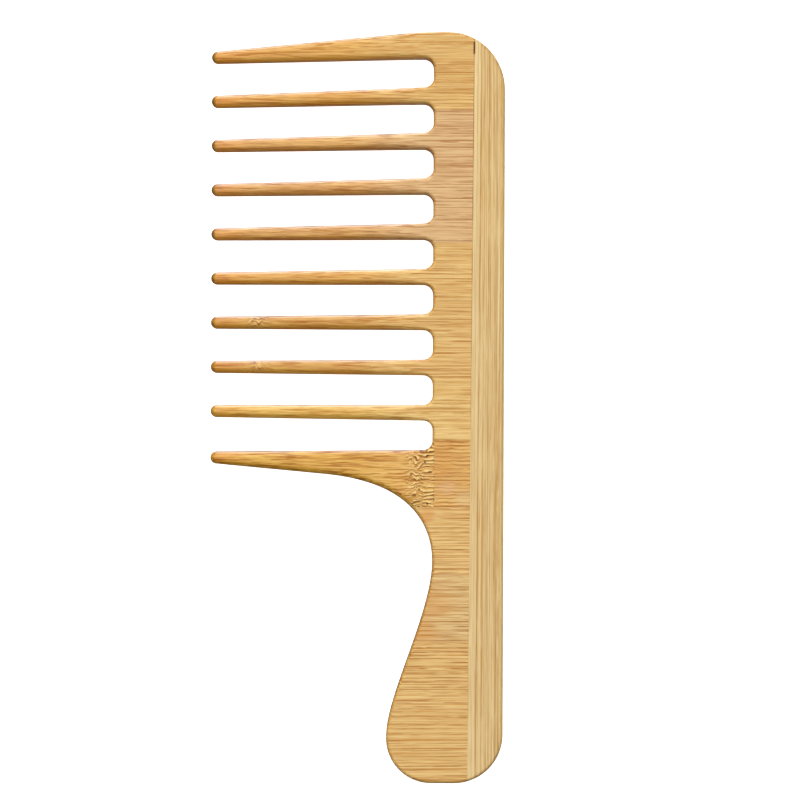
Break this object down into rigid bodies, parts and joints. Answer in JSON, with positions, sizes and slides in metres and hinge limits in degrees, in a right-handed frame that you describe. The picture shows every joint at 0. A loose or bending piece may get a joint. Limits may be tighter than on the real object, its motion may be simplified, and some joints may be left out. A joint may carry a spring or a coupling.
{
  "type": "wide tooth comb",
  "caption": "Flat wide tooth comb of glued bamboo slats: long tapered teeth on one side of a straight spine that runs on into a curved handle.",
  "frame": {"origin": "centre of the comb's outline, on the flat back face that it lies on", "axes": "+Z through the thickness towards the front face, +Y along the spine from the handle to the toothed end, -X along the teeth towards their tips"},
  "size_m": [0.0782, 0.2, 0.01],
  "materials": {
    "slat_bamboo": "sanded and oiled bamboo, fibres across the comb",
    "knuckle_bamboo": "sanded and oiled bamboo with a knuckle of the cane",
    "spine_bamboo": "sanded and oiled bamboo, fibres along the comb"
  },
  "bodies": {
    "root": {"front_slat_1": "slat_bamboo", "front_slat_2": "slat_bamboo", "front_slat_3": "slat_bamboo", "front_slat_4": "slat_bamboo", "front_slat_5": "knuckle_bamboo", "front_slat_6": "slat_bamboo", "front_slat_7": "slat_bamboo", "front_slat_8": "slat_bamboo", "front_slat_9": "slat_bamboo", "front_slat_10": "slat_bamboo", "front_slat_11": "slat_bamboo", "back_slat_1": "slat_bamboo", "back_slat_2": "slat_bamboo", "back_slat_3": "slat_bamboo", "back_slat_4": "slat_bamboo", "back_slat_5": "slat_bamboo", "back_slat_6": "slat_bamboo", "back_slat_7": "slat_bamboo", "back_slat_8": "slat_bamboo", "back_slat_9": "slat_bamboo", "back_slat_10": "slat_bamboo", "back_slat_11": "slat_bamboo", "back_slat_12": "slat_bamboo", "spine_inner": "spine_bamboo", "spine_middle": "spine_bamboo", "spine_outer": "spine_bamboo"}
  },
  "joints": []
}
